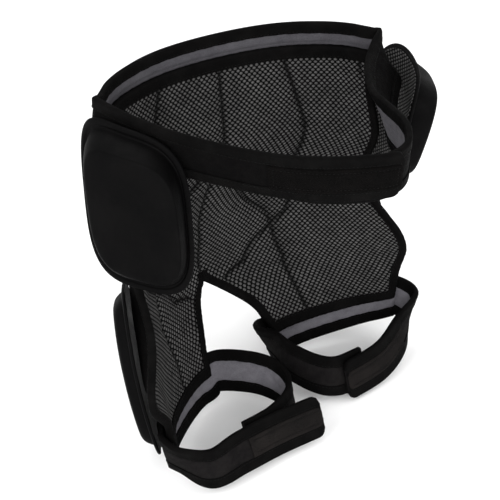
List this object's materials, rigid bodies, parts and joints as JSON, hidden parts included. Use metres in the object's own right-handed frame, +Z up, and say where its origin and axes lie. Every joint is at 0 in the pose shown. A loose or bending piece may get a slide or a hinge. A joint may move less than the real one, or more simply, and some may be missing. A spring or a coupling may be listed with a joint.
{
  "type": "padded protective shorts",
  "caption": "Open-front padded protective shorts: padded seat panel with mesh lining, waist belt, moulded hip and thigh pads, and leg straps with closure tabs.",
  "frame": {"origin": "middle of the waist opening, at the belt's mid height", "axes": "+Z up; the wearer faces -Y and the wearer's left is +X"},
  "size_m": [0.3849, 0.2939, 0.3591],
  "materials": {
    "neoprene": "matt knit-faced foam cloth",
    "moulded": "smooth moulded foam, satin",
    "lining": "soft brushed knit",
    "mesh": "dotted mesh",
    "tape": "ribbed binding tape",
    "grip": "short loop pile"
  },
  "bodies": {
    "root": {"back_panel": "neoprene", "mesh_lining": "mesh", "panel_binding": "tape", "waist_belt": "neoprene", "belt_lining": "lining", "belt_binding_top": "tape", "belt_binding_bottom": "tape", "belt_tab": "grip", "leg_strap_right": "neoprene", "leg_lining_right": "lining", "leg_binding_top_right": "tape", "leg_binding_bottom_right": "tape", "leg_tab_right": "grip", "hip_pad_right": "moulded", "hip_lining_right": "mesh", "thigh_pad_right": "moulded", "leg_strap_left": "neoprene", "leg_lining_left": "lining", "leg_binding_top_left": "tape", "leg_binding_bottom_left": "tape", "leg_tab_left": "grip", "hip_pad_left": "moulded", "hip_lining_left": "mesh", "thigh_pad_left": "moulded"}
  },
  "joints": []
}
